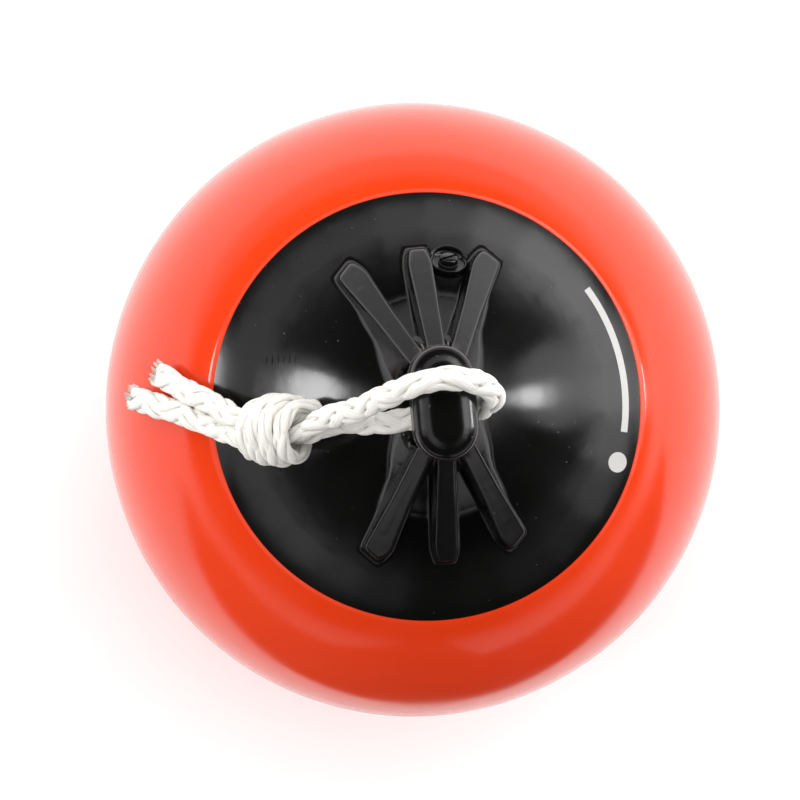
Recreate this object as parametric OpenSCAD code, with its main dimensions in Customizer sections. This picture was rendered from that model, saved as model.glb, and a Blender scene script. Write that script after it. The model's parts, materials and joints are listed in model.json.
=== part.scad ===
// Inflatable mooring buoy: a vinyl ball with a moulded rope eye, an inflation valve
// and a short doubled rope tied through the eye.
// The buoy stands on its pressed foot at z = 0, with the eye on top.
// The eye's window runs along X and its bar lies along Y.

/* [Ball] */
// Outer diameter of the inflated ball
ball_d = 280; // [276:1:284]
// Wall of the ball
ball_wall = 3; // [2:0.5:4]
// How far the ball's own weight presses its foot flat
foot_press = 1.5; // [1:0.5:3]

/* [Eye end] */
// Diameter of the eye end where it joins the ball's wall
cap_d = 176; // [170:1:180]
// Wall of the eye end under its shoulder
cap_wall = 5; // [4:0.5:6]
// Diameter at which the round shoulder turns into the neck
neck_d = 144; // [140:1:150]
// Radius of the hollow curve of the neck
neck_bend_r = 270; // [250:5:300]
// Width of the neck's waist across the window
waist_w = 39; // [38:1:42]

/* [Bar and window] */
// Height of the bar's axis above the ball's centre
bar_rise = 201; // [199:1:203]
// Diameter of the bar
bar_d = 24; // [23:0.5:24]
// Length of the bar over its round ends
bar_l = 42.4; // [42:0.2:44]
// Width of the window between its pillars
window_w = 29; // [29:0.5:30]
// Height of the window's sill above the ball's centre
sill_rise = 167; // [165:1:168]

/* [Ribs] */
// Angle between the middle rib and each side rib
rib_fan = 27; // [24:1:29]
// Width of a rib beside the bar
rib_w_in = 6.5; // [5:0.5:7]
// Width of a rib at its foot
rib_w_out = 9.5; // [8:0.5:10]

/* [Valve] */
// Distance of the valve from the buoy's axis
valve_reach = 59; // [58:0.5:60]
// Angle of the valve round from +Y towards +X
valve_turn_a = 12.5; // [12:0.5:13]
// Tilt of the valve's face from level
valve_tilt = 50; // [48:1:52]
// Diameter of the valve's pocket
pocket_d = 15; // [14:0.5:15]
// Diameter of the closing screw's shank
screw_d = 4; // [3.6:0.2:4]

/* [Rope] */
// Diameter of the rope
rope_d = 9.5; // [9:0.1:9.5]

/* [Hidden] */

ball_r = ball_d / 2;
ball_c = ball_r - foot_press;
seam_a = asin(cap_d / 2 / ball_r);
neck_r = neck_d / 2;
neck_z = sqrt(ball_r * ball_r - neck_r * neck_r);
neck_a = atan2(neck_r, neck_z);
bend_x = neck_r + neck_bend_r * sin(neck_a);
bend_z = neck_z + neck_bend_r * cos(neck_a);
bar_z = ball_c + bar_rise;
big = 400;

// Height of the neck's hollow curve above the ball's centre, at radius r
function neck_h(r) = bend_z - sqrt(neck_bend_r * neck_bend_r - (bend_x - r) * (bend_x - r));
// Point on a circle about the ball's centre, a degrees down from the pole
function arc_pt(r, a) = [r * sin(a), r * cos(a)];

// The fused seam is a cone with its point at the ball's centre
module seam_cone() {
    translate([0, 0, ball_c]) cylinder(h = big, r1 = 0, r2 = big * tan(seam_a), $fn = 120);
}

module ball_shell() {
    color("orangered") difference() {
        translate([0, 0, ball_c]) sphere(r = ball_r, $fn = 120);
        difference() {
            translate([0, 0, ball_c]) sphere(r = ball_r - ball_wall, $fn = 120);
            translate([-big / 2, -big / 2, ball_wall - big]) cube(big);
        }
        translate([-big / 2, -big / 2, -big]) cube(big);
        seam_cone();
    }
}

// Outer shape of the shoulder and neck, and the air chamber inside them
neck_top_r = 17;
outer_side = concat(
    [for (i = [0 : 4]) arc_pt(ball_r, seam_a + (neck_a - seam_a) * i / 4)],
    [for (r = [neck_r - 5 : -5 : neck_top_r]) [r, neck_h(r)]]);
module shoulder_and_neck() {
    translate([0, 0, ball_c]) rotate_extrude($fn = 120)
        polygon(concat([[0, 0]], outer_side, [[0, neck_h(neck_top_r)]]));
}

neck_wall = cap_wall * 1.3;
chamber_side = [for (r = [12 : 12 : 60]) [r, neck_h(r) - neck_wall]];
module air_chamber() {
    translate([0, 0, ball_c]) rotate_extrude($fn = 120)
        polygon(concat([[0, -1], [0, neck_h(12) - neck_wall]], chamber_side,
            [for (a = [neck_a : 4 : 90]) arc_pt(ball_r - cap_wall, a)], [[ball_r - cap_wall, -1]]));
}

// Outlines of the eye seen along X, above the ball's centre: half of each, for +Y.
// Between the ribs a low ledge leads from the bar's foot to the neck.
ledge_side = [[0, 192], [20.5, 190.5], [23.5, 184], [27.5, 158.8], [43.5, 139.7], [52, 127], [52, 120], [0, 120]];
// Outside the side ribs a flank rises part of the way up the rib
flank_side = [[0, 192], [20, 191], [28, 176], [36, 162.5], [44, 150.5], [52, 140], [58, 132], [58, 120], [0, 120]];
// Outline seen along Y: half of it, for +X
eye_end = [[0, 200], [11.5, 200], [13.6, 189], [waist_w / 2 - 3, 175], [waist_w / 2, 160], [33, 144],
           [33, 120], [0, 120]];
// Outline seen from above: a quarter of it
eye_plan = [[0, 0], [waist_w / 2, 0], [waist_w / 2, 25], [25.2, 37], [29, 48], [29, 58], [0, 58]];

module both_ways(v) {
    children();
    mirror(v) children();
}

module web_block(side) {
    translate([0, 0, ball_c]) intersection() {
        rotate([90, 0, 90]) linear_extrude(80, center = true)
            both_ways([1, 0, 0]) polygon(side);
        rotate([90, 0, 0]) linear_extrude(140, center = true)
            both_ways([1, 0, 0]) polygon(eye_end);
        translate([0, 0, 100]) linear_extrude(120)
            both_ways([1, 0, 0]) both_ways([0, 1, 0]) polygon(eye_plan);
    }
}

// Where a side rib's middle line would start beside the axis, and how far out it runs
side_rib_x = -1;
side_rib_tip = 65.5;
middle_rib_tip = 62.5;

module eye_web() {
    web_block(ledge_side);
    outer = [side_rib_x + side_rib_tip * sin(rib_fan), side_rib_tip * cos(rib_fan)];
    intersection() {
        web_block(flank_side);
        translate([0, 0, ball_c + 100]) linear_extrude(120)
            both_ways([1, 0, 0]) both_ways([0, 1, 0])
                polygon([[side_rib_x, 0], outer, [40, outer[1]], [40, 0]]);
    }
}

// One rib: a wedge in plan with a blunt nose, cut to its sloping top, from the bar's end outwards
rib_start = 19;
rib_top_z = 195;
rib_fall = 1.263;
nose = 6;
module rib(a, x0, tip) {
    crest_z = rib_top_z - rib_fall * (tip - 2 - rib_start);
    translate([x0, 0, ball_c]) rotate([0, 0, -a]) intersection() {
        translate([0, 0, 100]) linear_extrude(120) polygon([
            [-rib_w_in / 2, rib_start], [rib_w_in / 2, rib_start],
            [rib_w_out / 2, tip - nose], [rib_w_out / 4, tip],
            [-rib_w_out / 4, tip], [-rib_w_out / 2, tip - nose]]);
        rotate([90, 0, 90]) linear_extrude(20, center = true)
            polygon([[rib_start, rib_top_z], [tip - 2, crest_z], [tip, crest_z - 6], [tip, 116], [rib_start, 116]]);
    }
}

module ribs() {
    both_ways([0, 1, 0]) {
        rib(0, 0, middle_rib_tip);
        both_ways([1, 0, 0]) rib(rib_fan, side_rib_x, side_rib_tip);
    }
}

module bar() {
    half = bar_l / 2 - bar_d / 2;
    translate([0, 0, bar_z]) {
        rotate([90, 0, 0]) cylinder(h = 2 * half, d = bar_d, center = true, $fn = 64);
        both_ways([0, 1, 0]) translate([0, half, 0]) rotate([90, 0, 0]) sphere(d = bar_d, $fn = 64);
    }
}

// Window through the eye along X: a level sill with round corners, open above the bar
window_corner = 6;
module window() {
    h = 60;
    translate([0, 0, ball_c + sill_rise]) rotate([90, 0, 90]) linear_extrude(100, center = true)
        union() {
            translate([-window_w / 2, window_corner]) square([window_w, h]);
            translate([window_corner - window_w / 2, 0]) square([window_w - 2 * window_corner, h]);
            both_ways([1, 0]) translate([window_w / 2 - window_corner, window_corner])
                circle(r = window_corner, $fn = 48);
        }
}

// The valve's own frame: its face is z = 0 and its axis points out of the cap
module at_valve() {
    translate([valve_reach * sin(valve_turn_a), valve_reach * cos(valve_turn_a),
               ball_c + neck_h(valve_reach) + 1.5])
        rotate([0, 0, -valve_turn_a]) rotate([-valve_tilt, 0, 0]) children();
}

// Sizes inside the valve
pocket_depth = 3.2;
flange_t = 1.4;
seal_t = 0.8;
stem_d = 10;
stem_l = 14;
boss_d = 20;
boss_l = 9;
screw_play = 0.06;
// Long enough to cut right through the cap or the valve
cut_l = 20;

module eye_cap() {
    color([0.06, 0.06, 0.065]) difference() {
        union() {
            shoulder_and_neck();
            difference() {
                union() {
                    eye_web();
                    ribs();
                }
                window();
            }
            bar();
        }
        difference() {
            air_chamber();
            at_valve() translate([0, 0, -boss_l]) cylinder(h = boss_l, d = boss_d, $fn = 64);
        }
        at_valve() {
            translate([0, 0, -pocket_depth]) cylinder(h = cut_l, d = pocket_d, $fn = 64);
            translate([0, 0, -cut_l]) cylinder(h = cut_l, d = stem_d, $fn = 64);
        }
    }
}

module valve_body() {
    color([0.1, 0.1, 0.11]) at_valve() difference() {
        union() {
            translate([0, 0, -pocket_depth]) cylinder(h = flange_t, d = pocket_d, $fn = 64);
            translate([0, 0, -pocket_depth - stem_l]) cylinder(h = stem_l + flange_t, d = stem_d, $fn = 64);
        }
        cylinder(h = 2 * cut_l, d = screw_d + 2 * screw_play, center = true, $fn = 48);
    }
}

// Moving faces that rest on each other stand this far apart
face_gap = 0.02;
seal_z = flange_t - pocket_depth + face_gap;
module valve_seal() {
    color("dimgray") at_valve() translate([0, 0, seal_z]) difference() {
        cylinder(h = seal_t, d = 8, $fn = 48);
        translate([0, 0, -1]) cylinder(h = 3, d = screw_d + 2 * screw_play, $fn = 48);
    }
}

head_d = 7.4;
head_t = 2.4;
slot_w = 1.2;
slot_depth = 1.3;
shank_l = 12;
module valve_screw() {
    color([0.16, 0.16, 0.17]) at_valve() translate([0, 0, seal_z + seal_t + face_gap]) difference() {
        union() {
            cylinder(h = head_t, d = head_d, $fn = 48);
            translate([0, 0, -shank_l]) cylinder(h = shank_l + 1, d = screw_d, $fn = 48);
        }
        translate([-head_d, -slot_w / 2, head_t - slot_depth]) cube([2 * head_d, slot_w, slot_depth + 1]);
    }
}

// Route of the rope's loop: from the knot up over the bar, round it and back under it
loop_route = [
    [-50, -1.5, 298], [-42, -1, 307], [-34, 0, 318], [-27, 2, 330], [-20.5, 4.5, 342],
    [-14, 6.5, 350.5], [-7, 8, 355.5], [0, 8.5, 357], [8, 7.5, 355.2], [14.5, 5, 350],
    [18, 1.5, 342], [17.5, -1.5, 334], [13.5, -3, 327], [7, -3.5, 322.5], [0, -4, 321],
    [-8, -4.5, 320], [-16, -5, 316], [-23, -5, 309], [-30, -4.5, 302], [-37, -3.5, 296],
    [-45, -4, 290.5]];
// Routes of the two tails, from the knot down over the ball
tail_a_route = [
    [-72, -1, 276.5], [-78.5, 3, 270], [-85, 8, 263], [-90, 11.5, 257], [-95, 14.5, 250.5],
    [-99.5, 17.5, 244.5], [-103.5, 20, 239.5], [-107, 22.5, 234.5], [-110, 25, 230.5]];
tail_b_route = [
    [-72, -10, 276], [-79, -6.5, 269.5], [-85.5, -3, 262.5], [-90.5, 0.5, 256.5], [-95.5, 3.5, 250.5],
    [-100, 6, 245], [-105, 8.5, 239], [-110.5, 11, 232], [-116.5, 13.5, 224.5], [-122, 16, 217]];
rope_sides = 12;

// Smooth curve through the route's points, with two rings to each step
function spline(p, i, t) = let (
    a = p[max(i - 1, 0)], b = p[i], c = p[i + 1], d = p[min(i + 2, len(p) - 1)])
    0.5 * (2 * b + (c - a) * t + (2 * a - 5 * b + 4 * c - d) * t * t + (3 * b - a - 3 * c + d) * t * t * t);
function smooth(p) = concat([for (i = [0 : len(p) - 2], t = [0, 0.5]) spline(p, i, t)], [p[len(p) - 1]]);
function unit(v) = v / norm(v);
function heading(p, i) = unit(p[min(i + 1, len(p) - 1)] - p[max(i - 1, 0)]);
function ring(p, i, r) = let (
    h = heading(p, i), side = unit(cross([0, 1, 0], h)), up = cross(h, side))
    [for (k = [0 : rope_sides - 1]) p[i] + r * (cos(360 * k / rope_sides) * side + sin(360 * k / rope_sides) * up)];

module tube(route) {
    p = smooth(route);
    last = (len(p) - 1) * rope_sides;
    polyhedron(
        points = [for (i = [0 : len(p) - 1]) each ring(p, i, rope_d / 2)],
        faces = concat(
            [[for (k = [0 : rope_sides - 1]) k]],
            [for (i = [0 : len(p) - 2], k = [0 : rope_sides - 1]) let (n = (k + 1) % rope_sides)
                [i * rope_sides + n, i * rope_sides + k, (i + 1) * rope_sides + k, (i + 1) * rope_sides + n]],
            [[for (k = [rope_sides - 1 : -1 : 0]) last + k]]));
}

module rope_loop() {
    color("white") tube(loop_route);
}

module rope_tail_a() {
    color("whitesmoke") tube(tail_a_route);
}

module rope_tail_b() {
    color("whitesmoke") tube(tail_b_route);
}

// Outer shape of the doubled overhand knot: a plump barrel along the slope of the neck
knot_centre = [-61.5, -4, 285.5];
knot_d = 30;
knot_l = 34;
knot_slope = 40;
module rope_knot() {
    color("ivory") translate(knot_centre) rotate([0, -90 - knot_slope, 0]) rotate_extrude($fn = 64)
        polygon([for (i = [0 : 16]) let (a = 180 * i / 16)
            [knot_d / 2 * pow(sin(a), 0.7), -knot_l / 2 * cos(a)]]);
}

ball_shell();
eye_cap();
valve_body();
valve_seal();
valve_screw();
rope_loop();
rope_knot();
rope_tail_a();
rope_tail_b();
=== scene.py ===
import json
import math

import bpy
import bmesh
import numpy as np
from mathutils import Matrix, Vector


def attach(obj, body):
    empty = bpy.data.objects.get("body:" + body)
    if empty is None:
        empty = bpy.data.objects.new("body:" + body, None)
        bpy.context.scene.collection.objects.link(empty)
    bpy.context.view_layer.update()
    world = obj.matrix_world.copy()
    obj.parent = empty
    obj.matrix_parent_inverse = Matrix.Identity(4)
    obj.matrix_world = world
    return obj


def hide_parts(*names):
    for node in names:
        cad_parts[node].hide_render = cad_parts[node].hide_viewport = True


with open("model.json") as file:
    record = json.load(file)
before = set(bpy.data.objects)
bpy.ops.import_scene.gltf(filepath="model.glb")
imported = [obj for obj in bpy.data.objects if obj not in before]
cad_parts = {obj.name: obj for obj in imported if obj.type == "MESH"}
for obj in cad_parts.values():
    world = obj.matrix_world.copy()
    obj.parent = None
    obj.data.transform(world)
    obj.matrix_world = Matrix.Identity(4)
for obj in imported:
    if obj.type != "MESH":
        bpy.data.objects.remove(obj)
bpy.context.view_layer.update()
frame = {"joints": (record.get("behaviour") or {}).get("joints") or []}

# ---------------------------------------------------------------- places from the frame
# In metres, with the origin on the floor under the ball.
joints = {j["name"]: j for j in frame["joints"]}
BAR = np.array(joints["rope_swing"]["pos_m"])
VALVE = np.array(joints["valve_turn"]["pos_m"])
VALVE_AXIS = np.array(joints["valve_turn"]["axis"]) / np.linalg.norm(joints["valve_turn"]["axis"])
BALL_R = 0.140
BAR_RISE = 0.201  # the bar's middle over the ball's centre
CENTRE = BAR - np.array([0, 0, BAR_RISE])

# ---------------------------------------------------------------- camera
# It looks down from a metre away, turned by ROLL. LEAN is where it stands and AIM where it looks,
# both beside the ball's centre along the picture's right and up.
CAMERA_DISTANCE = 1.0
ROLL = math.radians(5.5)
LEAN = (-0.0568, -0.0125)
AIM = (-0.00576, 0.00438)
SENSOR_MM = 36
LENS_MM = 97.695


def make_camera():
    """The camera at the photograph's viewing angle."""
    right = Vector((math.cos(ROLL), -math.sin(ROLL), 0))
    up = Vector((math.sin(ROLL), math.cos(ROLL), 0))
    height = math.sqrt(1 - LEAN[0] ** 2 - LEAN[1] ** 2)
    centre = Vector(CENTRE)
    place = centre + CAMERA_DISTANCE * (right * LEAN[0] + up * LEAN[1] + Vector((0, 0, height)))
    target = centre + right * AIM[0] + up * AIM[1]
    back = (place - target).normalized()
    side = up.cross(back).normalized()
    turn = Matrix((side, back.cross(side), back)).transposed()
    data = bpy.data.cameras.new("camera")
    data.sensor_width = SENSOR_MM
    data.lens = LENS_MM
    camera = bpy.data.objects.new("camera", data)
    camera.matrix_world = Matrix.Translation(place) @ turn.to_4x4()
    bpy.context.scene.collection.objects.link(camera)
    bpy.context.scene.camera = camera


make_camera()


# ---------------------------------------------------------------- mesh helpers
ON_AXIS = 1e-7


def add_mesh(name, verts, faces, smooth=True):
    """A new object in the scene, from points and faces in metres."""
    mesh = bpy.data.meshes.new(name)
    mesh.from_pydata([tuple(v) for v in verts], [], [tuple(f) for f in faces])
    mesh.polygons.foreach_set("use_smooth", [smooth] * len(mesh.polygons))
    piece = bpy.data.objects.new(name, mesh)
    bpy.context.scene.collection.objects.link(piece)
    return piece


def unit(v):
    """Rows of v, each made one long."""
    return v / np.linalg.norm(v, axis=-1, keepdims=True)


def lathe(name, profile, segments, place=None):
    """A closed solid of revolution. Its profile runs through (radius, height) points, and either
    closes on itself or starts and ends on the axis."""
    verts, faces, rings = [], [], []
    for i, (r, z) in enumerate(profile):
        if i and (r, z) == profile[0]:
            rings.append(rings[0])
            continue
        if r < ON_AXIS:
            rings.append([len(verts)])
            verts.append((0, 0, z))
        else:
            rings.append(list(range(len(verts), len(verts) + segments)))
            for k in range(segments):
                a = 2 * math.pi * k / segments
                verts.append((r * math.cos(a), r * math.sin(a), z))
    for lower, upper in zip(rings, rings[1:]):
        for k in range(segments):
            n = (k + 1) % segments
            quad = [lower[k % len(lower)], lower[n % len(lower)],
                    upper[n % len(upper)], upper[k % len(upper)]]
            corners = list(dict.fromkeys(quad))
            if len(corners) > 2:
                faces.append(corners)
    piece = add_mesh(name, verts, faces)
    if place is not None:
        piece.data.transform(place)
    return piece


def outward(piece):
    """Turns every face of a closed mesh to look outwards."""
    bm = bmesh.new()
    bm.from_mesh(piece.data)
    bmesh.ops.recalc_face_normals(bm, faces=bm.faces)
    bm.to_mesh(piece.data)
    bm.free()
    return piece


# ---------------------------------------------------------------- rope
# The routes repeat the CAD's own, from the knot round the bar and down the two tails.
ROPE_D = 0.0095
LOOP_ROUTE = [
    (-0.050, -0.0015, 0.298), (-0.042, -0.001, 0.307), (-0.034, 0, 0.318), (-0.027, 0.002, 0.330),
    (-0.0205, 0.0045, 0.342), (-0.014, 0.0065, 0.3505), (-0.007, 0.008, 0.3555), (0, 0.0085, 0.357),
    (0.008, 0.0075, 0.3552), (0.0145, 0.005, 0.350), (0.018, 0.0015, 0.342), (0.0175, -0.0015, 0.334),
    (0.0135, -0.003, 0.327), (0.007, -0.0035, 0.3225), (0, -0.004, 0.321), (-0.008, -0.0045, 0.320),
    (-0.016, -0.005, 0.316), (-0.023, -0.005, 0.309), (-0.030, -0.0045, 0.302), (-0.037, -0.0035, 0.296),
    (-0.045, -0.004, 0.2905)]
TAIL_A_ROUTE = [
    (-0.0785, 0.003, 0.272), (-0.085, 0.0075, 0.265), (-0.090, 0.0110, 0.2585),
    (-0.095, 0.0138, 0.2515), (-0.0995, 0.0168, 0.245), (-0.1035, 0.020, 0.2395),
    (-0.107, 0.0225, 0.2345), (-0.110, 0.025, 0.2305)]
TAIL_B_ROUTE = [
    (-0.079, -0.0040, 0.2685), (-0.0855, -0.0012, 0.2615), (-0.0905, 0.0016, 0.2558),
    (-0.0955, 0.0042, 0.2502), (-0.100, 0.0065, 0.245), (-0.105, 0.0085, 0.239),
    (-0.1105, 0.011, 0.232), (-0.1165, 0.0135, 0.2245), (-0.122, 0.016, 0.217)]
KNOT = np.array((-0.0615, -0.004, 0.2855))
KNOT_SLOPE = math.radians(40)
KNOT_R = 0.0150
KNOT_HALF = 0.0195
KNOT_TURNS = 1.5
KNOT_RUN = 0.0195  # how far a strand travels along the knot in those turns
KNOT_STEPS = 18
KNOT_END = 0.2  # keeps the knot's ends from closing to a point
KNOT_AXES = np.array([
    (math.cos(KNOT_SLOPE), 0, math.sin(KNOT_SLOPE)),
    (0, 1, 0),
    (-math.sin(KNOT_SLOPE), 0, math.cos(KNOT_SLOPE))])

# A station on the rope: a point, and how the round rope is pressed there: half its width,
# half its thickness and the direction of its thickness.
ROUND = ROPE_D / 2
PRESSED = (0.0039, 0.0028)
CORE = 0.0034
# The tails are flattened, the more so towards their ends, as shares of the round rope.
TAIL_WIDTH = 1.06
TAIL_WIDENS = 0.12
TAIL_THICK = 0.74
TAIL_THINS = 0.18


def knot_point(x, y, z):
    return KNOT + x * KNOT_AXES[0] + y * KNOT_AXES[1] + z * KNOT_AXES[2]


def knot_strand(start, lead_in, lead_out):
    """Stations of one strand of the doubled overhand knot, from the loop's mouth to its tail.
    It runs through the core, wraps one and a half turns round it from x = start, dives back
    at the other end and leaves through the core."""
    stations = []

    def core(x, y, z):
        stations.append((knot_point(x, y, z), CORE, CORE, KNOT_AXES[2]))

    def outer(x, y, z):
        radial = unit(y * KNOT_AXES[1] + z * KNOT_AXES[2])
        stations.append((knot_point(x, y, z), *PRESSED, radial))

    for point in lead_in:
        core(*point)
    for i in range(KNOT_STEPS + 1):
        t = i / KNOT_STEPS
        a = -math.pi / 2 + 2 * math.pi * KNOT_TURNS * t
        x = start + KNOT_RUN * t
        r = KNOT_R * math.sqrt(max(KNOT_END, 1 - (x / KNOT_HALF) ** 2)) - PRESSED[1]
        outer(x, r * math.sin(a), r * math.cos(a))
    for point in lead_out:
        core(*point)
    return stations


STRAND_UPPER = knot_strand(
    -0.0065,
    [(0.0120, -0.0020, 0.0034), (0.0020, -0.0032, 0.0034), (-0.0055, -0.0034, 0.0020),
     (-0.0095, -0.0056, -0.0022), (-0.0088, -0.0090, -0.0050)],
    [(0.0150, 0.0075, -0.0050), (0.0135, 0.0042, -0.0050), (0.0060, 0.0033, -0.0034),
     (-0.0060, 0.0033, -0.0034), (-0.0150, 0.0040, -0.0015)])
STRAND_LOWER = knot_strand(
    -0.0130,
    [(0.0100, -0.0032, -0.0040), (0.0, -0.0032, -0.0034), (-0.0100, -0.0034, -0.0036),
     (-0.0155, -0.0040, -0.0058), (-0.0150, -0.0080, -0.0060)],
    [(0.0088, 0.0086, -0.0042), (0.0080, 0.0050, -0.0004), (0.0010, 0.0033, 0.0034),
     (-0.0080, 0.0010, 0.0034), (-0.0150, -0.0040, 0.0010)])


def loop_stations():
    return [(np.array(p), ROUND, ROUND, np.array((0, 1.0, 0))) for p in LOOP_ROUTE]


def tail_stations(route):
    stations = []
    for i, p in enumerate(route):
        t = i / (len(route) - 1)
        p = np.array(p)
        width = ROUND * (TAIL_WIDTH + TAIL_WIDENS * t)
        thickness = ROUND * (TAIL_THICK - TAIL_THINS * t)
        stations.append((p, width, thickness, unit(p - CENTRE)))
    return stations


def rope_stations():
    """The whole rope in order: tail A, knot, upper leg, bar, lower leg, knot, tail B."""
    return (tail_stations(TAIL_A_ROUTE)[::-1] + STRAND_UPPER[::-1] + loop_stations()[1:-1]
            + STRAND_LOWER + tail_stations(TAIL_B_ROUTE))


def spline(values, t):
    """Catmull-Rom through an array of rows, at the fractional row numbers t."""
    n = len(values)
    i = np.clip(np.floor(t).astype(int), 0, n - 2)
    f = (t - i)[:, None]
    a, b = values[np.clip(i - 1, 0, n - 1)], values[i]
    c, d = values[i + 1], values[np.clip(i + 2, 0, n - 1)]
    square, cube = 2 * a - 5 * b + 4 * c - d, 3 * b - a - 3 * c + d
    return 0.5 * (2 * b + (c - a) * f + square * f ** 2 + cube * f ** 3)


STEP = 0.0008
SPLINE_STEPS = 40


class RopeLine:
    """The rope's centreline at even steps, with its pressed section and a frame that doesn't twist."""

    def __init__(self, stations):
        rows = np.array([np.concatenate([p, [w, h], m]) for p, w, h, m in stations])
        fine = spline(rows, np.linspace(0, len(rows) - 1, SPLINE_STEPS * len(rows)))
        run = np.concatenate([[0], np.cumsum(np.linalg.norm(np.diff(fine[:, :3], axis=0), axis=1))])
        self.length = run[-1]
        self.s = np.linspace(0, self.length, int(self.length / STEP) + 1)
        even = np.stack([np.interp(self.s, run, column) for column in fine.T], axis=1)
        self.p = even[:, :3]
        self.width, self.thick = even[:, 3], even[:, 4]
        self.t = unit(np.gradient(self.p, axis=0))
        m = even[:, 5:] - self.t * np.sum(even[:, 5:] * self.t, axis=1, keepdims=True)
        self.flat = m / np.maximum(np.linalg.norm(m, axis=1, keepdims=True), 1e-6)
        self.e1 = self.carried()
        self.e2 = np.cross(self.t, self.e1)

    def carried(self):
        """One direction across the rope, carried along it without twisting."""
        rows = np.zeros_like(self.p)
        e = np.cross(self.t[0], (0, 0, 1))
        for i, t in enumerate(self.t):
            e = e - t * np.dot(e, t)
            e = e / np.linalg.norm(e)
            rows[i] = e
        return rows

    def around(self, a):
        """Offset from the centreline to the pressed surface at angle a, and its outward direction."""
        v = np.cos(a)[:, None] * self.e1 + np.sin(a)[:, None] * self.e2
        along = np.sum(v * self.flat, axis=1, keepdims=True)
        w, h = self.width[:, None], self.thick[:, None]
        offset = w * v + self.flat * along * (h - w)
        normal = unit(v / w + self.flat * along * (1 / h - 1 / w))
        return offset, normal


STRANDS = 4
PITCH = 0.0520
STRAND_THICK = 0.00105
STRAND_COVER = math.pi / STRANDS * 0.90
STRAND_SIDES = 12
STRAND_SQUARE = 0.8  # under 1 makes a strand's section squarer
WEAVE = 0.00046
HEART = 0.62  # radius of the core, as a share of the rope's
# How a strand wanders sideways in radians, ripples up and down, and swells as a share of its
# thickness, each with the run over which it repeats.
WANDER = 0.13
WANDER_RUN = 0.037
RIPPLE = 0.00016
RIPPLE_RUN = 0.0135
SWELL = 0.14
SWELL_RUN = 0.021
# The strands loosen over FRAY at the cut ends: they get thinner and narrower and spread outwards.
FRAY = 0.011
FRAY_THIN = 0.55
FRAY_NARROW = 0.3
FRAY_SPREAD = 0.16
# Fibres at each cut end: radius at the root, length past the end and inside it, and outward bend.
FIBRES = 110
FIBRE_R = 0.00042
FIBRE_SIDES = 3
FIBRE_STEPS = 6
FIBRE_REACH = (0.0002, 0.0013)
FIBRE_ROOT = 0.003
FIBRE_BEND = (0.0001, 0.0006)
FIBRE_RING = (0.35, 0.6)  # nearest to the middle and how much further out, as shares of the rope
FIBRE_RUN = 0.005
# Lanes in the strand UVs, which set the pieces of rope apart in the fibre grain
HEART_LANE = 20
FIBRE_LANE = 24


class Tubes:
    """Closed tubes gathered into one mesh, with a lane across and a run along each in its UVs."""

    def __init__(self):
        self.verts, self.faces, self.uvs, self.count = [], [], [], 0

    def add(self, rings, run, lane):
        """rings[i, k] is corner k of cross-section i, and run[i] how far along it lies."""
        n, sides = rings.shape[:2]
        base, self.count = self.count, self.count + n * sides
        self.verts.append(rings.reshape(-1, 3))
        for i in range(n - 1):
            for k in range(sides):
                m = (k + 1) % sides
                self.faces.append((base + i * sides + m, base + i * sides + k,
                                   base + (i + 1) * sides + k, base + (i + 1) * sides + m))
                self.uvs.extend((lane + q / sides, run[j] / ROPE_D) for q, j in
                                ((k + 1, i), (k, i), (k, i + 1), (k + 1, i + 1)))
        for ring, order in ((0, 1), (n - 1, -1)):
            self.faces.append([base + ring * sides + k for k in range(sides)][::order])
            self.uvs.extend([(lane + 0.5, run[ring] / ROPE_D)] * sides)


def add_strands(tubes, line, draw):
    """Four strands each way round, over two and under two."""
    corner = 2 * math.pi * np.arange(STRAND_SIDES) / STRAND_SIDES
    square = np.sign(np.sin(corner)) * np.abs(np.sin(corner)) ** STRAND_SQUARE
    to_end = np.minimum(line.s, line.length - line.s)
    loose = np.clip(1 - to_end / FRAY, 0, 1) ** 2

    def wave(run, phase):
        return np.sin(2 * math.pi * line.s / run + phase)

    for sense in (1, -1):
        for k in range(STRANDS):
            first, last = draw.randint(0, 5, 2)
            phase = draw.uniform(0, 2 * math.pi, 3)
            a = sense * 2 * math.pi * line.s / PITCH + 2 * math.pi * k / STRANDS
            a = a + WANDER * wave(WANDER_RUN, phase[0])
            lift = sense * WEAVE * np.cos(4 * math.pi * line.s / PITCH + math.pi / 4)
            lift = lift + RIPPLE * wave(RIPPLE_RUN, phase[1])
            thick = STRAND_THICK * (1 + SWELL * wave(SWELL_RUN, phase[2])) * (1 - FRAY_THIN * loose)
            rings = []
            for c, q in zip(corner, square):
                offset, normal = line.around(a + STRAND_COVER * (1 - FRAY_NARROW * loose) * math.cos(c))
                reach = np.linalg.norm(offset, axis=1)
                level = offset * (1 - STRAND_THICK / reach + FRAY_SPREAD * loose)[:, None]
                rings.append(line.p + level + normal * (lift - WEAVE + thick * q)[:, None])
            stop = len(line.s) - last
            lane = k + STRANDS * (sense + 1)
            tubes.add(np.stack(rings, axis=1)[first:stop], line.s[first:stop], lane)


def add_heart(tubes, line):
    """The core that fills the braid, kept short of the cut ends."""
    inset = 6
    heart = slice(inset, len(line.s) - inset)
    corner = 2 * math.pi * np.arange(STRAND_SIDES) / STRAND_SIDES
    rings = [line.p + HEART * line.around(np.full(len(line.s), c))[0] for c in corner]
    tubes.add(np.stack(rings, axis=1)[heart], line.s[heart], HEART_LANE)


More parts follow.
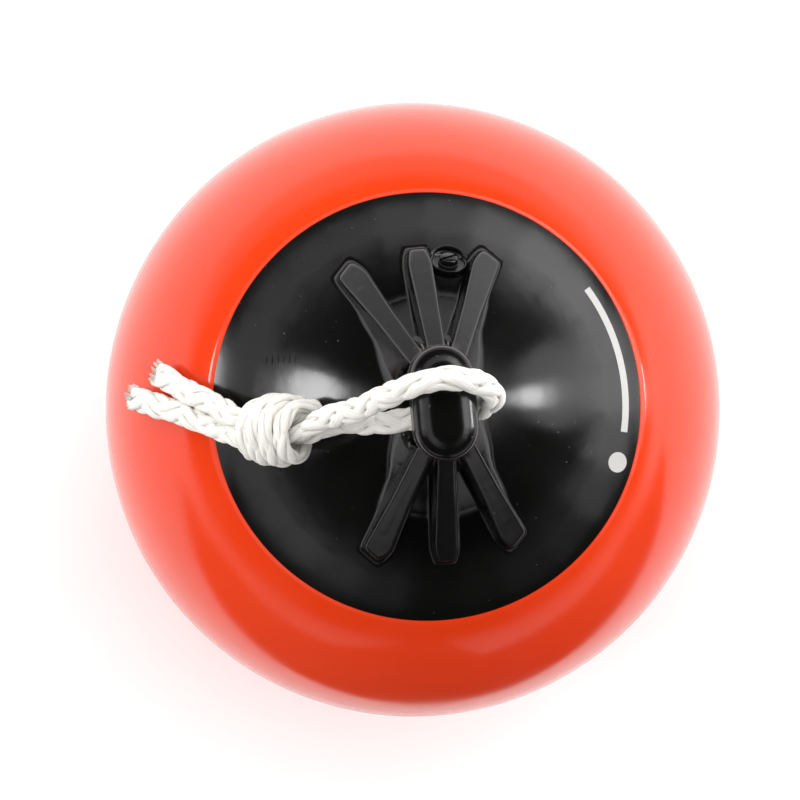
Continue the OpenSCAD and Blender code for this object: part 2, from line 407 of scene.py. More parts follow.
def add_fibres(tubes, line, draw):
    """Short loose fibres at both cut ends."""
    corner = 2 * math.pi * np.arange(FIBRE_SIDES) / FIBRE_SIDES
    t = np.linspace(0, 1, FIBRE_STEPS)
    radius = FIBRE_R * (1 - 0.5 * t)
    for end, along in ((0, -1), (-1, 1)):
        for _ in range(FIBRES):
            turn, depth, reach, bend = draw.uniform(0, 2 * math.pi), *draw.uniform(0, 1, 3)
            offset = line.around(np.full(len(line.s), turn))[0][end]
            offset = offset * (FIBRE_RING[0] + FIBRE_RING[1] * depth)
            forward = line.t[end] * along
            out = unit(offset)
            ahead = (FIBRE_REACH[0] + FIBRE_REACH[1] * reach) * t - FIBRE_ROOT * (1 - t)
            spread = (FIBRE_BEND[0] + FIBRE_BEND[1] * bend) * t ** 2
            middle = line.p[end] + offset + forward * ahead[:, None] + out * spread[:, None]
            across = np.cross(forward, out)
            rings = [middle + radius[:, None] * (math.cos(c) * out + math.sin(c) * across) for c in corner]
            tubes.add(np.stack(rings[::along], axis=1), t * FIBRE_RUN, FIBRE_LANE + turn)


def rope_mesh(name, line):
    """A hollow braid round a core, frayed at both cut ends."""
    tubes = Tubes()
    draw = np.random.RandomState(11)
    add_strands(tubes, line, draw)
    add_heart(tubes, line)
    add_fibres(tubes, line, draw)
    piece = add_mesh(name, np.concatenate(tubes.verts), tubes.faces)
    layer = piece.data.uv_layers.new(name="strand")
    layer.data.foreach_set("uv", [x for uv in tubes.uvs for x in uv])
    return outward(piece)


rope_line = RopeLine(rope_stations())
rope = rope_mesh("rope", rope_line)
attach(rope, "rope")
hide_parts("rope_loop", "rope_knot", "rope_tail_a", "rope_tail_b")

# ---------------------------------------------------------------- eye cap
# A distance field in millimetres from the ball's centre, negative inside, meshed below. The eye is
# the same on all four sides, so x and y come in without their signs. A factor on a sloping surface,
# such as 0.62 on a rib's top, brings a height over it back to a distance from it.
SPHERE_R = BALL_R * 1000
NECK_R = 72.0
BEND_R = 270.0
NECK_Z = math.sqrt(SPHERE_R ** 2 - NECK_R ** 2)
NECK_A = math.atan2(NECK_R, NECK_Z)
BEND_X = NECK_R + BEND_R * math.sin(NECK_A)
BEND_Z = NECK_Z + BEND_R * math.cos(NECK_A)
SEAM_R = 88.0
SEAM_Z = math.sqrt(SPHERE_R ** 2 - SEAM_R ** 2)
WALL = 5.0
NECK_WALL = 6.5
WINDOW_HALF = 14.5
SILL = 167.0
SILL_CORNER = 6.0
BAR_R = 12.0
BAR_HALF = 9.2
# The bar's upper half is drawn from a larger circle lower down, and stops just past its lower half.
DOME_DROP = 2.1
DOME_PROUD = 0.15
BEAD_R = 0.5
BEAD_DROP = 1.8
# Half width of the eye along y, what its pillars lose of that and from which height, and how much
# its flanks lean for each millimetre of rise
EYE_HALF = ((0, 23, 27, 37, 50, 57, 70), (19.0, 19.0, 19.8, 24.4, 28.6, 29.6, 31.0))
PILLAR_LESS = ((0, 11, 27), (5.7, 5.7, 0))
PILLAR_RISE = ((150, 174), (0, 1))
FLANK_LEAN = ((0, 21, 37, 50, 60), (0.27, 0.27, 0.16, 0.09, 0.05))
# Height of the ledge between the ribs, by distance from the axis
LEDGE = ((0, 20.5, 23.5, 27.5, 43.5, 52, 100), (191, 190.5, 184, 158.8, 139.7, 127, 50))
LEDGE_STEEP = 27
SKIRT_END = 56
# The ribs fan out from the bar: the top of a rib is at RIB_TOP_Z where it is RIB_START along, and
# falls RIB_FALL for each millimetre. Half widths are by distance along.
RIB_FAN = math.radians(27)
SIDE_RIB_X = -1
RIB_START = 19.0
RIB_TOP_Z = 195.0
RIB_FALL = 1.263
RIB_FROM = 12
RIB_SPREAD = 0.03  # how much wider it gets for each millimetre down
NOSE_SPREAD = 0.04
SIDE_RIB_HALF = ((0, 19, 40, 60), (3.2, 3.3, 3.9, 5.3))
MIDDLE_RIB_HALF = ((0, 19, 56, 64), (3.2, 3.4, 4.8, 5.0))
MIDDLE_RIB_END = 62.5
# A middle rib's corners are cut where along + MIDDLE_CUT * across passes MIDDLE_CORNER. A side rib
# ends askew in the same way, and loses its inner corner to a plane given by its normal and reach.
MIDDLE_CUT = 2.9
MIDDLE_CORNER = 71.9
SIDE_END_LEAN = 0.38
SIDE_END = 65.4
INNER_CUT = (0.394, -0.919)
INNER_CORNER = 28.8
VALVE_LOCAL = (VALVE - CENTRE) * 1000
POCKET_R = 7.5
POCKET_DEPTH = 3.2
STEM_R = 5.0
STEM_GAP = 0.05
STEM_DEPTH = 17.5
BOSS_R = 10.0
BOSS_FLOOR = 3
# Widths of the blends between surfaces
FILLET = 1.6
SHARP_FILLET = 0.7
WIDE_FILLET = 3.0
# How much flatter the shoulder shades than a true ball, which makes the faint crease at the neck
SHOULDER_EASE = 0.17


def smin(a, b, k):
    """The smaller of two fields, blended where they differ by less than k."""
    h = np.clip(0.5 + 0.5 * (b - a) / k, 0, 1)
    return b * (1 - h) + a * h - k * h * (1 - h)


def smax(a, b, k):
    """The larger of two fields, blended in the same way."""
    return -smin(-a, -b, k)


def neck_height(r):
    """Height of the neck's hollow curve at a distance from the axis."""
    return BEND_Z - np.sqrt(BEND_R ** 2 - (BEND_X - r) ** 2)


def body_field(r, z):
    """Shoulder and neck: a ball that turns into a hollow curve."""
    sphere = np.hypot(r, z) - SPHERE_R
    neck = BEND_R - np.hypot(r - BEND_X, z - BEND_Z)
    return np.where(np.arctan2(r, z) < NECK_A, neck, sphere)


def web_field(x, y, z, r):
    """The two pillars of the eye, the flanks under the side ribs and the ledge between the ribs."""
    half = np.interp(y, *EYE_HALF) - np.interp(y, *PILLAR_LESS) * np.interp(z, *PILLAR_RISE)
    rise = z - neck_height(np.minimum(r, NECK_R))
    flank = (x - half + np.interp(y, *FLANK_LEAN) * rise) * 0.96
    steep = np.where(r < LEDGE_STEEP, 0.3, 0.64)
    pillar = smax(flank, (z - np.interp(r, *LEDGE)) * steep, FILLET)
    side = (x, y, RIB_FAN, SIDE_RIB_X)
    skirt = smax(flank, (z - rib_top(*side) + 0.8) * 0.6, 1.2)
    skirt = smax(skirt, rib_side(*side), 1.2)
    skirt = smax(skirt, rib_axes(*side)[1] - SKIRT_END, WIDE_FILLET)
    rib = rib_field(x, y, z, RIB_FAN, SIDE_RIB_X)
    return smin(pillar, smin(skirt, rib, 0.8), FILLET)


def rib_axes(x, y, turn, start):
    """Across and along one rib, from the line where it leaves the bar."""
    return ((x - start) * math.cos(turn) - y * math.sin(turn),
            (x - start) * math.sin(turn) + y * math.cos(turn))


def rib_top(x, y, turn, start):
    along = rib_axes(x, y, turn, start)[1]
    return RIB_TOP_Z - RIB_FALL * (along - RIB_START)


def rib_side(x, y, turn, start):
    """Negative on the outer side of a side rib's middle line."""
    return -rib_axes(x, y, turn, start)[0]


def rib_field(x, y, z, turn, start):
    """A rib that widens outwards. A side rib's end is cut askew, with its inner corner off."""
    across, along = rib_axes(x, y, turn, start)
    down = rib_top(x, y, turn, start) - z
    if turn:
        half = np.interp(along, *SIDE_RIB_HALF)
        end = (along + SIDE_END_LEAN * across - SIDE_END) * 0.93
        inner = INNER_CUT[0] * along + INNER_CUT[1] * across - INNER_CORNER
        nose = smax(end, inner, 2.6)
    else:
        half = np.interp(along, *MIDDLE_RIB_HALF)
        corners = (along + np.abs(across) * MIDDLE_CUT - MIDDLE_CORNER) * 0.326
        nose = smax(along - MIDDLE_RIB_END, corners, 1.2)
    d = smax(np.abs(across) - half - RIB_SPREAD * down, -down * 0.62, 1.3)
    d = smax(d, nose - NOSE_SPREAD * down, 1.5)
    return np.maximum(d, RIB_FROM - along)


def window_field(y, z):
    """The opening under the bar, with rounded lower corners."""
    aside = np.maximum(y - (WINDOW_HALF - SILL_CORNER), 0)
    below = np.maximum(SILL + SILL_CORNER - z, 0)
    corner = np.hypot(aside, below) - SILL_CORNER
    low = np.maximum(corner, np.maximum(y - WINDOW_HALF, SILL - z))
    return np.where(z > SILL + SILL_CORNER, y - WINDOW_HALF, low)


def bar_field(x, y, z):
    """The bar: round below and domed above, with the bead that its mould left round its widest line."""
    reach = np.hypot(x, np.maximum(y - BAR_HALF, 0))
    rise = z - BAR_RISE * 1000
    lower = np.hypot(reach, rise) - BAR_R
    dome = np.hypot(reach, rise + DOME_DROP) - BAR_R - DOME_DROP
    dome = smax(dome, reach - BAR_R - DOME_PROUD, FILLET)
    bead = np.hypot(reach - BAR_R, rise + BEAD_DROP) - BEAD_R
    return smin(smin(np.where(rise > 0, dome, lower), lower, 0.5), bead, SHARP_FILLET)


def valve_axes(p):
    """Height above the valve's face and distance from its axis."""
    q = p - VALVE_LOCAL
    along = q @ VALVE_AXIS
    return along, np.sqrt(np.maximum(np.sum(q * q, axis=1) - along ** 2, 0))


def cap_field(p):
    """The whole outside of the cap, with the valve's pocket and the bore for its stem."""
    x, y, z = np.abs(p[:, 0]), np.abs(p[:, 1]), p[:, 2]
    r = np.hypot(x, y)
    eye = smin(web_field(x, y, z, r), rib_field(x, y, z, 0, 0), FILLET)
    eye = smax(eye, -window_field(y, z), 2.4)
    shoulder = smax(body_field(r, z), z - SILL + 3.0, WIDE_FILLET)
    solid = smin(shoulder, eye, 2.2)
    solid = smin(solid, bar_field(x, y, z), 1.4)
    along, off = valve_axes(p)
    solid = smax(solid, -np.maximum(off - POCKET_R, -along - POCKET_DEPTH), SHARP_FILLET)
    return np.maximum(solid, -np.maximum(off - STEM_R - STEM_GAP, -along - STEM_DEPTH))


def chamber_field(p):
    """The air chamber under the cap, round the boss that holds the valve's stem."""
    r, z = np.hypot(p[:, 0], p[:, 1]), p[:, 2]
    wall = np.interp(np.arctan2(r, z) - NECK_A, (-0.06, 0.06), (NECK_WALL, WALL))
    air = smax(body_field(r, z) + wall, z - SILL + WALL, WIDE_FILLET)
    along, off = valve_axes(p)
    boss = np.maximum(off - BOSS_R, -along - STEM_DEPTH - BOSS_FLOOR)
    return -smax(air, -boss, 2.0)


# Low and high corner and cell size of the boxes that the two fields are meshed in
CAP_GRID = ((-96, -96, 104), (96, 96, 216), 0.85)
CHAMBER_GRID = ((-90, -90, 100), (90, 90, 170), 3.0)
COARSE = 4  # cells in one block of the first, rough pass
NEAR_BLOCK = 1.35  # blocks that the surface may still cross, in block widths


def surface_net(field, low, high, step):
    """Mesh of a distance field: one vertex in each cell that the surface crosses, moved onto it."""
    counts = [int(math.ceil((b - a) / step / COARSE)) for a, b in zip(low, high)]
    big = [low[i] + step * COARSE * (np.arange(counts[i]) + 0.5) - step / 2 for i in range(3)]
    blocks = np.stack(np.meshgrid(*big, indexing="ij"), axis=-1).reshape(-1, 3)
    values = field(blocks).reshape(counts)
    for axis in range(3):
        values = np.repeat(values, COARSE, axis=axis)
    near = np.argwhere(np.abs(values) < step * COARSE * NEAR_BLOCK)
    origin = np.array(low)
    values[tuple(near.T)] = field(origin + near * step)

    inside = values < 0
    shape = [n - 1 for n in inside.shape]
    corner = [(i, j, k) for i in (0, 1) for j in (0, 1) for k in (0, 1)]
    count = sum(inside[i:shape[0] + i, j:shape[1] + j, k:shape[2] + k].astype(np.int8)
                for i, j, k in corner)
    cells = np.argwhere((count > 0) & (count < 8))
    index = np.full(shape, -1, np.int32)
    index[tuple(cells.T)] = np.arange(len(cells))

    total, hits = np.zeros((len(cells), 3)), np.zeros(len(cells))
    for a in corner:
        for axis in range(3):
            if a[axis]:
                continue
            b = tuple(1 if i == axis else a[i] for i in range(3))
            va = values[tuple((cells + a).T)]
            vb = values[tuple((cells + b).T)]
            cross = (va < 0) != (vb < 0)
            f = np.where(cross, va / np.where(cross, va - vb, 1), 0)
            point = np.array(a, float) + np.eye(3)[axis] * f[:, None]
            total += point * cross[:, None]
            hits += cross
    verts = origin + (cells + total / hits[:, None]) * step

    quads = []
    for axis in range(3):
        u, v = (axis + 1) % 3, (axis + 2) % 3
        here = np.moveaxis(inside, (axis, u, v), (0, 1, 2))
        where = np.moveaxis(index, (axis, u, v), (0, 1, 2))
        a, b = here[:-1, 1:-1, 1:-1], here[1:, 1:-1, 1:-1]
        at = np.argwhere(a != b)
        i, j, k = at.T
        four = np.stack([where[i, j, k], where[i, j + 1, k],
                         where[i, j + 1, k + 1], where[i, j, k + 1]], axis=1)
        turned = ~a[i, j, k]
        four[turned] = four[turned][:, ::-1]
        quads.append(four)
    return verts, np.concatenate(quads)


def field_normal(field, p, h=0.05):
    """Slope of a field along each axis, which points outwards."""
    step = np.eye(3) * h
    return np.stack([field(p + step[i]) - field(p - step[i]) for i in range(3)], axis=1) / (2 * h)


SETTLE_ROUNDS = 4
LEAST_SLOPE = 0.05


def settle(field, p):
    """Moves points onto the surface of a field."""
    for _ in range(SETTLE_ROUNDS):
        slope = field_normal(field, p)
        p = p - slope * (field(p) / np.maximum(np.sum(slope * slope, axis=1), LEAST_SLOPE))[:, None]
    return p


def eye_cap():
    """Outer and inner surface, cut level where the ball begins and joined there."""
    bm = bmesh.new()
    for field, grid in ((cap_field, CAP_GRID), (chamber_field, CHAMBER_GRID)):
        verts, quads = surface_net(field, *grid)
        made = [bm.verts.new(v) for v in settle(field, verts)]
        for quad in quads:
            bm.faces.new([made[i] for i in quad])
    # Where two sheets met along an edge, they are drawn together to a point, so each edge keeps two faces.
    bmesh.ops.collapse(bm, edges=[e for e in bm.edges if len(e.link_faces) > 2])
    cut = bmesh.ops.bisect_plane(bm, geom=bm.verts[:] + bm.edges[:] + bm.faces[:], dist=1e-4,
                                 plane_co=(0, 0, SEAM_Z), plane_no=(0, 0, -1), clear_outer=True)
    rim = [e for e in cut["geom_cut"] if isinstance(e, bmesh.types.BMEdge)]
    bmesh.ops.bridge_loops(bm, edges=rim)
    bmesh.ops.triangulate(bm, faces=[f for f in bm.faces if len(f.verts) > 4])
    mesh = bpy.data.meshes.new("eye_cap_skin")
    bm.to_mesh(mesh)
    bm.free()
    shade_cap(mesh)
    mesh.transform(Matrix.Translation(CENTRE) @ Matrix.Scale(0.001, 4))
    piece = bpy.data.objects.new("eye_cap_skin", mesh)
    bpy.context.scene.collection.objects.link(piece)
    return piece


def shade_cap(mesh):
    """Smooth shading straight from the fields, with the shoulder eased."""
    local = np.empty(len(mesh.vertices) * 3)
    mesh.vertices.foreach_get("co", local)
    local = local.reshape(-1, 3)
    inner = np.abs(chamber_field(local)) < 0.05
    normals = np.where(inner[:, None], field_normal(chamber_field, local), field_normal(cap_field, local))
    shoulder = np.clip((np.hypot(local[:, 0], local[:, 1]) - NECK_R + 1) / 3, 0, 1)
    normals[:, :2] *= (1 - SHOULDER_EASE * shoulder * ~inner)[:, None]
    mesh.polygons.foreach_set("use_smooth", [True] * len(mesh.polygons))
    mesh.normals_split_custom_set_from_vertices([tuple(n) for n in unit(normals)])


cap = eye_cap()
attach(cap, "buoy")
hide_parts("eye_cap")


# ---------------------------------------------------------------- print and moulded marks
# Plain shapes stand where the photograph has lettering. Sizes are in millimetres.
PRINT_R = 81.0
PRINT_HALF = 1.5
PRINT_SPAN = (-13, 31)
PRINT_STEPS = 45
DOT_R = 4.2
DOT_AT = -22
DOT_STEPS = 32
PRINT_PROUD = 0.12
MARK_PROUD = 0.35
MARK_SINK = 0.8
MARK_PITCH = 2.3
MARK_HALF = 0.4
MARK_LONG = 1.3
MARK_SHORT = 0.9
# Rows of bars: where they are, as direction and distance, how many, and which way they run
MARK_ROWS = [(157.5, 63.3, 6, 0), (171.5, 69.0, 7, 90), (199.2, 60.5, 8, 0)]


def cap_height(r):
    return neck_height(r) if r < NECK_R else math.sqrt(SPHERE_R ** 2 - r * r)


def raised(name, outlines, proud):
    """Closed flat shapes that stand proud of the cap. Each outline is a list of (x, y) points."""
    verts, faces = [], []
    for outline in outlines:
        base, n = len(verts), len(outline)
        for sink in (proud, -MARK_SINK):
            verts += [(x, y, cap_height(math.hypot(x, y)) + sink) for x, y in outline]
        half = n // 2
        for i in range(half - 1):
            top = (base + i, base + i + 1, base + n - 2 - i, base + n - 1 - i)
            faces += [top, tuple(v + n for v in top[::-1])]
        faces += [(base + i, base + n + i, base + n + (i + 1) % n, base + (i + 1) % n) for i in range(n)]
    piece = add_mesh(name, verts, faces, smooth=False)
    piece.data.transform(Matrix.Translation(CENTRE) @ Matrix.Scale(0.001, 4))
    outward(piece)
    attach(piece, "buoy")
    return piece


def polar(r, degrees):
    return r * math.cos(math.radians(degrees)), r * math.sin(math.radians(degrees))


def printed_outlines():
    band = np.linspace(*PRINT_SPAN, PRINT_STEPS)
    outer = [polar(PRINT_R + PRINT_HALF, a) for a in band[::-1]]
    arc = [polar(PRINT_R - PRINT_HALF, a) for a in band] + outer
    x, y = polar(PRINT_R, DOT_AT)
    turn = np.linspace(0, 360, DOT_STEPS + 1)[:-1]
    return [arc, [(x + polar(DOT_R, a)[0], y + polar(DOT_R, a)[1]) for a in turn]]


def mark_outlines():
    """Rows of short bars. The first, and each third one after it, is shorter still."""
    outlines = []
    for azimuth, r, count, way in MARK_ROWS:
        row = np.array(polar(1, way - math.degrees(ROLL)))
        bar = np.array((-row[1], row[0]))
        for i in range(count):
            middle = np.array(polar(r, azimuth)) + row * MARK_PITCH * (i - (count - 1) / 2)
            long = MARK_LONG if i % 3 else MARK_SHORT
            corners = ((-1, -1), (1, -1), (1, 1), (-1, 1))
            outlines.append([tuple(middle + row * u * MARK_HALF + bar * v * long) for u, v in corners])
    return outlines


print_mark = raised("printed_band", printed_outlines(), PRINT_PROUD)
mould_marks = raised("moulded_marks", mark_outlines(), MARK_PROUD)

# ---------------------------------------------------------------- ball
FOOT_Z = CENTRE[2]  # the floor is this far under the ball's centre
FOOT_SOFT = 0.0012
FOOT_FADE = 0.02
BALL_WALL = 0.003
BALL_STEPS = 96
SEAM_ANGLE = math.asin(SEAM_R / SPHERE_R)


def ball_profile():
    """Loop round the ball's wall: down the outside, over the pressed foot and up the inside."""
    outside, inside = [], []
    for i in range(BALL_STEPS + 1):
        a = SEAM_ANGLE + (math.pi - SEAM_ANGLE) * i / BALL_STEPS
        r, z = BALL_R * math.sin(a), BALL_R * math.cos(a)
        h = z + FOOT_Z
        eased = h + math.sqrt(h * h + FOOT_SOFT ** 2) - FOOT_SOFT * math.exp(-abs(h) / FOOT_FADE)
        pressed = 0.5 * eased
        outside.append((r if i < BALL_STEPS else 0, max(pressed, 0) - FOOT_Z))
    inner = BALL_R - BALL_WALL
    seam = math.acos(SEAM_Z / 1000 / inner)
    half = BALL_STEPS // 2
    for i in range(half + 1):
        a = math.pi - (math.pi - seam) * i / half
        inside.append((inner * math.sin(a) if i else 0, max(inner * math.cos(a), BALL_WALL - FOOT_Z)))
    return outside + inside + [outside[0]]


ball = outward(lathe("ball_skin", ball_profile(), 2 * BALL_STEPS, Matrix.Translation(CENTRE)))
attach(ball, "buoy")
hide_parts("ball_shell")

# ---------------------------------------------------------------- valve
# Profiles are (radius, height over the valve's face) in millimetres.
VALVE_FRAME = (Matrix.Translation(VALVE)
               @ Vector(VALVE_AXIS).to_track_quat("Z", "Y").to_matrix().to_4x4())
SLOT = (0.009, 0.0012, 0.0026)
SLOT_TOP = 0.00143
SLOT_TURN = math.radians(35)
SHARP_ANGLE = math.radians(40)


def valve_piece(name, node, body, profile, segments=64):
    piece = outward(lathe(name, [(r / 1000, z / 1000) for r, z in profile], segments, VALVE_FRAME))
    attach(piece, body)
    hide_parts(node)
    return piece


flange = valve_piece("valve_flange", "valve_body", "buoy", [
    (2.1, -17.0), (4.6, -17.0), (4.95, -16.6), (4.95, -3.15), (7.3, -3.15), (7.42, -3.0), (7.42, -1.0),
    (7.25, -0.75), (7.0, -0.7), (6.75, -0.85), (6.6, -1.3), (6.3, -1.75), (5.8, -1.8), (4.5, -1.8),
    (2.3, -1.8), (2.1, -2.0), (2.1, -17.0)])
seal = valve_piece("valve_washer", "valve_seal", "seal", [
    (2.12, -1.6), (2.3, -1.77), (3.75, -1.77), (3.98, -1.6), (3.98, -1.18), (3.75, -1.0), (2.3, -1.0),
    (2.12, -1.18), (2.12, -1.6)], 48)


def slotted_screw():
    """Pan head with a bevelled rim and a straight slot, on a plain shank."""
    head = [(0, -12.9), (1.7, -12.9), (1.95, -12.6), (1.95, -0.95), (3.45, -0.95), (3.68, -0.75),
            (3.68, 0.75), (3.45, 1.15), (2.9, 1.38), (0, 1.43)]
    piece = lathe("valve_slotted_screw", [(r / 1000, z / 1000) for r, z in head], 64)
    bpy.ops.mesh.primitive_cube_add(size=1)
    slot = bpy.context.object
    slot.data.transform(Matrix.Translation((0, 0, SLOT_TOP)) @ Matrix.Diagonal((*SLOT, 1)))
    outward(piece)
    cut = piece.modifiers.new("slot", "BOOLEAN")
    cut.operation, cut.solver, cut.object = "DIFFERENCE", "EXACT", slot
    bake = bpy.data.meshes.new_from_object(piece.evaluated_get(bpy.context.evaluated_depsgraph_get()))
    piece.modifiers.clear()
    piece.data = bake
    bpy.data.objects.remove(slot, do_unlink=True)
    piece.data.transform(VALVE_FRAME @ Matrix.Rotation(SLOT_TURN, 4, "Z"))
    bm = bmesh.new()
    bm.from_mesh(piece.data)
    for edge in bm.edges:
        if len(edge.link_faces) == 2 and edge.calc_face_angle() > SHARP_ANGLE:
            edge.smooth = False
    bm.to_mesh(piece.data)
    bm.free()
    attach(piece, "screw")
    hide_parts("valve_screw")
    return piece


screw = slotted_screw()


# ---------------------------------------------------------------- materials
def material(name, roughness, ior=None):
    """A new material, with its nodes, its links and its shader."""
    made = bpy.data.materials.new(name)
    made.use_nodes = True
    shader = made.node_tree.nodes["Principled BSDF"]
    shader.inputs["Roughness"].default_value = roughness
    if ior:
        shader.inputs["IOR"].default_value = ior
    return made, made.node_tree.nodes, made.node_tree.links, shader


def object_coordinates(nodes):
    return nodes.new("ShaderNodeTexCoord").outputs["Object"]


def noise(nodes, links, place, scale, detail, stretch=None):
    node = nodes.new("ShaderNodeTexNoise")
    node.inputs["Scale"].default_value = scale
    node.inputs["Detail"].default_value = detail
    if stretch:
        mapping = nodes.new("ShaderNodeMapping")
        mapping.inputs["Scale"].default_value = stretch
        links.new(place, mapping.inputs["Vector"])
        place = mapping.outputs["Vector"]
    links.new(place, node.inputs["Vector"])
    return node.outputs["Fac"]


def ramp(nodes, links, value, stops):
    """Colours, or greys given as one number, between two places of a value."""
    node = nodes.new("ShaderNodeValToRGB")
    elements = node.color_ramp.elements
    while len(elements) < len(stops):
        elements.new(0.5)
    for element, (position, colour) in zip(elements, stops):
        element.position = position
        element.color = (*colour, 1) if isinstance(colour, tuple) else (colour, colour, colour, 1)
    links.new(value, node.inputs["Fac"])
    return node.outputs["Color"]


def bump(nodes, links, height, distance, strength, under=None):
    """Relief from a height map, over the relief under it if there is one."""
    node = nodes.new("ShaderNodeBump")
    node.inputs["Distance"].default_value = distance
    node.inputs["Strength"].default_value = strength
    links.new(height, node.inputs["Height"])
    if under:
        links.new(under, node.inputs["Normal"])
    return node.outputs["Normal"]


def vinyl(name, scale, tone, gloss, wave, grain):
    """Glossy vinyl: tone and gloss are each a noise detail and two stops of a ramp, and scale holds
    the sizes of their noises. Wave and grain are each a noise size, detail, depth and strength."""
    made, nodes, links, shader = material(name, 0.16, ior=1.4)
    place = object_coordinates(nodes)
    for socket, size, (detail, stops) in (("Base Color", scale[0], tone), ("Roughness", scale[1], gloss)):
        pattern = noise(nodes, links, place, size, detail)
        links.new(ramp(nodes, links, pattern, stops), shader.inputs[socket])
    relief = None
    for size, detail, depth, strength in (wave, grain):
        relief = bump(nodes, links, noise(nodes, links, place, size, detail), depth, strength, relief)
    links.new(relief, shader.inputs["Normal"])
    return made


def ball_material():
    """Red vinyl with slightly uneven colour and gloss."""
    return vinyl("ball_vinyl_skin", (9, 24),
                 tone=(3, [(0.3, (0.67, 0.034, 0.004)), (0.7, (0.73, 0.044, 0.006))]),
                 gloss=(5, [(0.35, 0.13), (0.7, 0.20)]),
                 wave=(18, 2, 0.0006, 0.35), grain=(900, 3, 0.00004, 0.3))


def cap_material():
    """Black vinyl with specks of dust."""
    return vinyl("cap_vinyl_skin", (620, 30),
                 tone=(2, [(0.74, (0.0035, 0.0034, 0.0032)), (0.79, (0.10, 0.095, 0.085))]),
                 gloss=(5, [(0.35, 0.14), (0.7, 0.22)]),
                 wave=(40, 3, 0.0005, 0.3), grain=(1200, 3, 0.00003, 0.3))


def rope_material():
    """White fibre with fine grain along the strands."""
    made, nodes, links, shader = material("rope_fibre_skin", 0.6, ior=1.45)
    strand = nodes.new("ShaderNodeUVMap")
    strand.uv_map = "strand"
    fibre = noise(nodes, links, strand.outputs["UV"], scale=1, detail=3, stretch=(38, 1.6, 1))
    tone = ramp(nodes, links, fibre, [(0.25, (0.72, 0.69, 0.62)), (0.6, (0.86, 0.845, 0.80))])
    links.new(tone, shader.inputs["Base Color"])
    links.new(bump(nodes, links, fibre, distance=0.0006, strength=0.8), shader.inputs["Normal"])
    return made


def plain_material(name, colour, roughness):
    made, _, _, shader = material(name, roughness)
    shader.inputs["Base Color"].default_value = (*colour, 1)
    return made


def dress(piece, made):
    piece.data.materials.clear()
    piece.data.materials.append(made)


dress(ball, ball_material())
cap_black = cap_material()
dress(cap, cap_black)
dress(mould_marks, cap_black)
dress(print_mark, plain_material("print_white_skin", (0.48, 0.47, 0.45), 0.45))
dress(rope, rope_material())
valve_black = plain_material("valve_plastic_skin", (0.006, 0.006, 0.006), 0.2)
dress(flange, valve_black)
dress(screw, valve_black)
dress(seal, plain_material("seal_rubber_skin", (0.02, 0.02, 0.02), 0.7))

# ---------------------------------------------------------------- floor and light
FLOOR_SIZE = 8
PAPER_ROUGHNESS = 0.9

bpy.ops.mesh.primitive_plane_add(size=FLOOR_SIZE)
floor = bpy.context.object
floor.name = "floor"
dress(floor, plain_material("floor_paper", (0.95, 0.95, 0.95), PAPER_ROUGHNESS))


def card(name, middle, size, shade):
    """Card just over the floor that only reflections see. Its middle is (x, y, height)."""
    bpy.ops.mesh.primitive_plane_add(size=1)
    flag = bpy.context.object
    flag.name = name
    flag.data.transform(Matrix.Translation(middle) @ Matrix.Diagonal((*size, 1, 1)))
    flag.visible_camera = flag.visible_diffuse = flag.visible_shadow = False
    dress(flag, plain_material(name + "_paper", (shade, shade, shade), PAPER_ROUGHNESS))


# The studio is dark in front, past the near edge of the lit floor, and grey further off.
card("dark_card", (-0.13, -2.14, 0.0015), (0.62, 3.7), 0.02)
card("dark_card_near", (0, -0.60, 0.0010), (2.6, 0.62), 0.02)
card("grey_card_front", (0, -2.2, 0.0005), (5.0, 2.9), 0.65)
card("grey_card_behind", (0, 2.4, 0.0005), (6.0, 3.0), 0.45)

# The lights stand round a point in the middle of the cap's neck.
NECK = Vector(CENTRE) + Vector((0, 0, 0.150))
FAR = 4.0


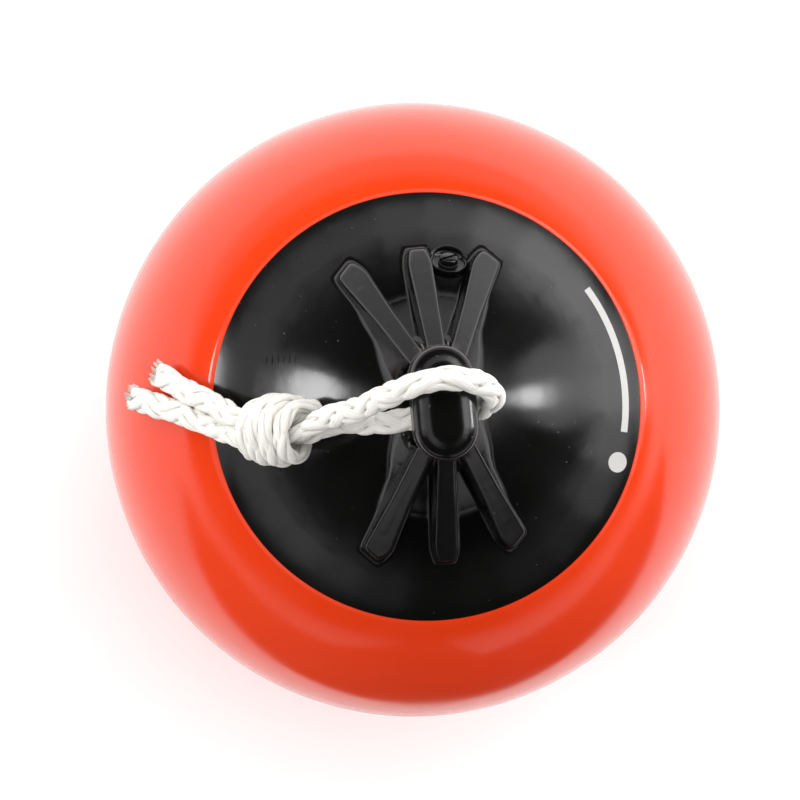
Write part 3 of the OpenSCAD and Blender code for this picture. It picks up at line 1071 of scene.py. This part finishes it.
def softbox(name, azimuth, elevation, span, glow, distance=FAR, glossy=True, shape="RECTANGLE"):
    """Area light seen from the neck: direction and span in degrees, glow as its radiance."""
    a, e = math.radians(azimuth), math.radians(elevation)
    out = Vector((math.cos(a) * math.cos(e), math.sin(a) * math.cos(e), math.sin(e)))
    data = bpy.data.lights.new(name, "AREA")
    data.shape = shape
    data.size, data.size_y = (2 * distance * math.tan(math.radians(x) / 2) for x in span)
    data.energy = glow * math.pi * data.size * data.size_y * (math.pi / 4 if shape == "ELLIPSE" else 1)
    lamp = bpy.data.objects.new(name, data)
    lamp.matrix_world = (Matrix.Translation(NECK + out * distance)
                         @ out.to_track_quat("Z", "Y").to_matrix().to_4x4())
    lamp.visible_glossy = glossy
    bpy.context.scene.collection.objects.link(lamp)


# A ring of soft panels, bright on the right and dim in front: azimuth, elevation and glow
RING = [(0, 25, 4.6), (45, 25, 5.0), (75, 27, 1.9), (105, 30, 1.2), (135, 31, 1.1), (180, 33, 1.3),
        (225, 33, 1.2), (250, 31, 0.4), (270, 30, 0.03), (290, 28, 0.1), (315, 27, 0.35),
        (335, 26, 1.6), (360, 25, 4.6)]
PANELS = 24
PANEL_HEIGHT = 18


def light_ring():
    """Panels edge to edge, with elevation and glow taken between the rows of RING."""
    azimuths, elevations, glows = zip(*RING)
    for i in range(PANELS):
        azimuth = 360 * i / PANELS
        elevation = float(np.interp(azimuth, azimuths, elevations))
        glow = float(np.interp(azimuth, azimuths, glows))
        half = math.atan(math.tan(math.pi / PANELS) * math.cos(math.radians(elevation)))
        softbox(f"ring_{i}", azimuth, elevation, (2 * math.degrees(half), PANEL_HEIGHT), glow)


softbox("fill_above", 90, 66, (62, 62), 1.5, distance=5.0, glossy=False)
light_ring()
softbox("core_right", 0, 4, (12, 5.5), 24, shape="ELLIPSE")
softbox("halo_right", 4, 9, (38, 15), 2.2, shape="ELLIPSE")
softbox("core_left", 167, 15.5, (20, 10), 20, shape="ELLIPSE")
softbox("halo_left", 174, 17, (46, 16), 1.2, shape="ELLIPSE")

WORLD_STRENGTH = 0.47

world = bpy.data.worlds.new("studio")
world.use_nodes = True
world.node_tree.nodes["Background"].inputs["Color"].default_value = (1, 1, 1, 1)
world.node_tree.nodes["Background"].inputs["Strength"].default_value = WORLD_STRENGTH
bpy.context.scene.world = world
world.cycles_visibility.glossy = False
bpy.context.scene.view_settings.view_transform = "Standard"
